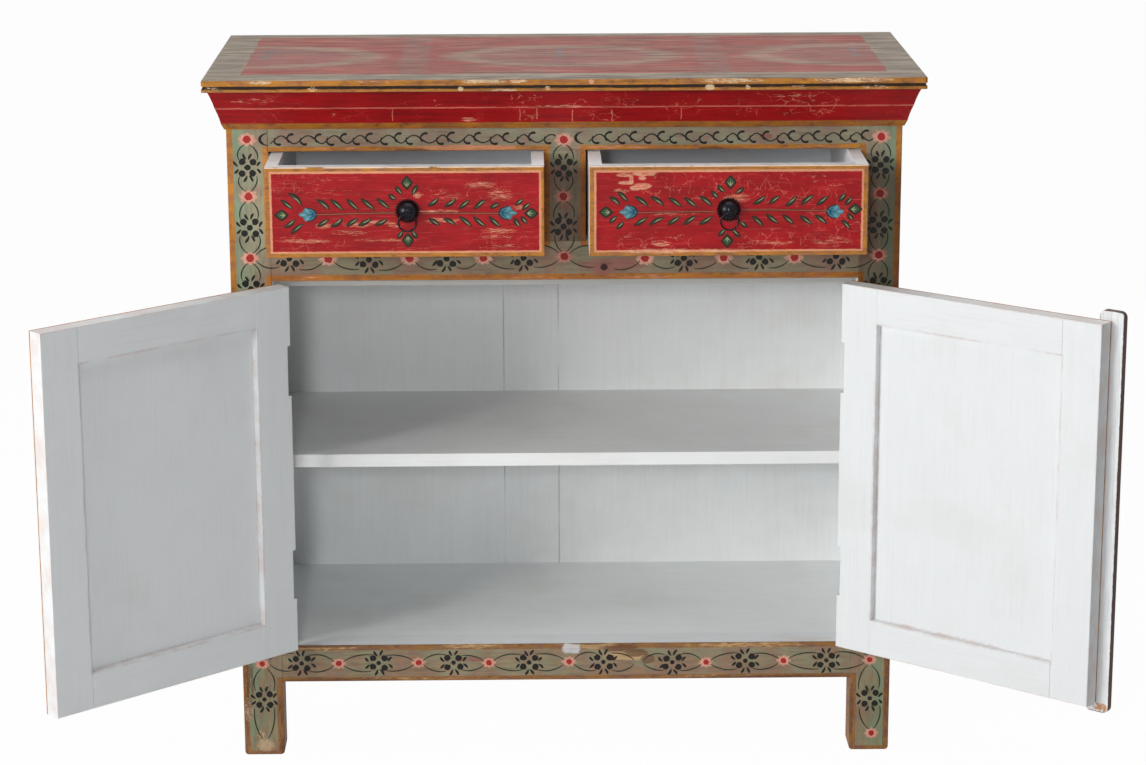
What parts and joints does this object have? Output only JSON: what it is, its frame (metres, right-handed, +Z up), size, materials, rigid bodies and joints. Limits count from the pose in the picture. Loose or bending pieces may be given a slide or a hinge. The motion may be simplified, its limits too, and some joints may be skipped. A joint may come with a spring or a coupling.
{
  "type": "painted sideboard cabinet",
  "caption": "Painted wooden cabinet on four short feet, with two ring-pull drawers above a cupboard with a shelf and a pair of framed doors.",
  "frame": {"origin": "on the floor, in the middle of the rectangle of the four feet", "axes": "+X to the right along the front, +Y from the front to the back, +Z up"},
  "size_m": [1.3583, 0.6701, 0.933],
  "materials": {
    "frame_paint": "aged sage-green paint with painted vines and flowers",
    "red_paint": "aged crimson paint, crazed",
    "top_paint": "worn grey and rose paint",
    "side_paint": "aged crimson and sage paint",
    "door_paint": "white satin paint inside, painted decoration outside",
    "inside_paint": "white satin paint",
    "bare_wood": "unpainted softwood",
    "iron": "polished black iron",
    "hinge_steel": "dull steel",
    "screw_steel": "dull steel"
  },
  "bodies": {
    "carcass": {"back_boards": "inside_paint", "back_rails": "bare_wood", "cornice_front": "red_paint", "cornice_sides": "red_paint", "door_stop": "inside_paint", "drawer_divider": "frame_paint", "drawer_guides": "bare_wood", "drawer_kickers": "bare_wood", "drawer_runners": "bare_wood", "drawer_stops": "inside_paint", "floor_boards": "inside_paint", "floor_cleats": "bare_wood", "hinge_pins": "hinge_steel", "post_back_left": "side_paint", "post_back_right": "side_paint", "post_front_left": "frame_paint", "post_front_right": "frame_paint", "post_hinge_leaves": "hinge_steel", "post_hinge_screws": "screw_steel", "rail_front_bottom": "frame_paint", "rail_front_middle": "frame_paint", "rail_front_top": "frame_paint", "shelf": "inside_paint", "shelf_cleats": "inside_paint", "side_panels": "side_paint", "side_rails": "side_paint", "top_board_back": "top_paint", "top_board_front": "top_paint"},
    "left_door": {"left_door_boss": "iron", "left_door_bottom_rail": "door_paint", "left_door_hinge_leaves": "hinge_steel", "left_door_hinge_screws": "screw_steel", "left_door_hinge_stile": "door_paint", "left_door_meeting_stile": "door_paint", "left_door_panel": "door_paint", "left_door_top_rail": "door_paint"},
    "right_door": {"right_door_boss": "iron", "right_door_bottom_rail": "door_paint", "right_door_hinge_leaves": "hinge_steel", "right_door_hinge_screws": "screw_steel", "right_door_hinge_stile": "door_paint", "right_door_meeting_stile": "door_paint", "right_door_meeting_strip": "door_paint", "right_door_panel_narrow": "door_paint", "right_door_panel_wide": "door_paint", "right_door_top_rail": "door_paint"},
    "left_drawer": {"left_drawer_back": "inside_paint", "left_drawer_boss": "iron", "left_drawer_bottom": "inside_paint", "left_drawer_front": "red_paint", "left_drawer_sides": "inside_paint"},
    "right_drawer": {"right_drawer_back": "inside_paint", "right_drawer_boss": "iron", "right_drawer_bottom": "inside_paint", "right_drawer_front": "red_paint", "right_drawer_sides": "inside_paint"},
    "left_door_ring_pull": {"left_door_ring": "iron"},
    "left_drawer_ring_pull": {"left_drawer_ring": "iron"},
    "right_door_ring_pull": {"right_door_ring": "iron"},
    "right_drawer_ring_pull": {"right_drawer_ring": "iron"}
  },
  "joints": [
    {"name": "left_door_hinge", "type": "hinge", "parent": "carcass", "child": "left_door", "pos_m": [-0.3825, -0.1985, 0.41], "axis": [0, 0, -1], "range_deg": [-138.3, 36.7]},
    {"name": "right_door_hinge", "type": "hinge", "parent": "carcass", "child": "right_door", "pos_m": [0.3825, -0.1985, 0.41], "axis": [0, 0, 1], "range_deg": [-140.7, 34.3]},
    {"name": "left_drawer_slide", "type": "slide", "parent": "carcass", "child": "left_drawer", "axis": [0, -1, 0], "range_m": [-0.101, 0.149]},
    {"name": "right_drawer_slide", "type": "slide", "parent": "carcass", "child": "right_drawer", "axis": [0, -1, 0], "range_m": [-0.104, 0.146]},
    {"name": "left_drawer_ring_swing", "type": "hinge", "parent": "left_drawer", "child": "left_drawer_ring_pull", "pos_m": [-0.20205, -0.3116, 0.7748], "axis": [-1, 0, 0], "range_deg": [-25, 165]},
    {"name": "left_door_ring_swing", "type": "hinge", "parent": "left_door", "child": "left_door_ring_pull", "pos_m": [-0.64889, -0.41963, 0.4093], "axis": [0.7466, 0.6652, 0], "range_deg": [-25, 165]},
    {"name": "right_drawer_ring_swing", "type": "hinge", "parent": "right_drawer", "child": "right_drawer_ring_pull", "pos_m": [0.20785, -0.3146, 0.7748], "axis": [-1, 0, 0], "range_deg": [-25, 165]},
    {"name": "right_door_ring_swing", "type": "hinge", "parent": "right_door", "child": "right_door_ring_pull", "pos_m": [0.65791, -0.40829, 0.4093], "axis": [0.7738, -0.6334, 0], "range_deg": [-25, 165]}
  ]
}
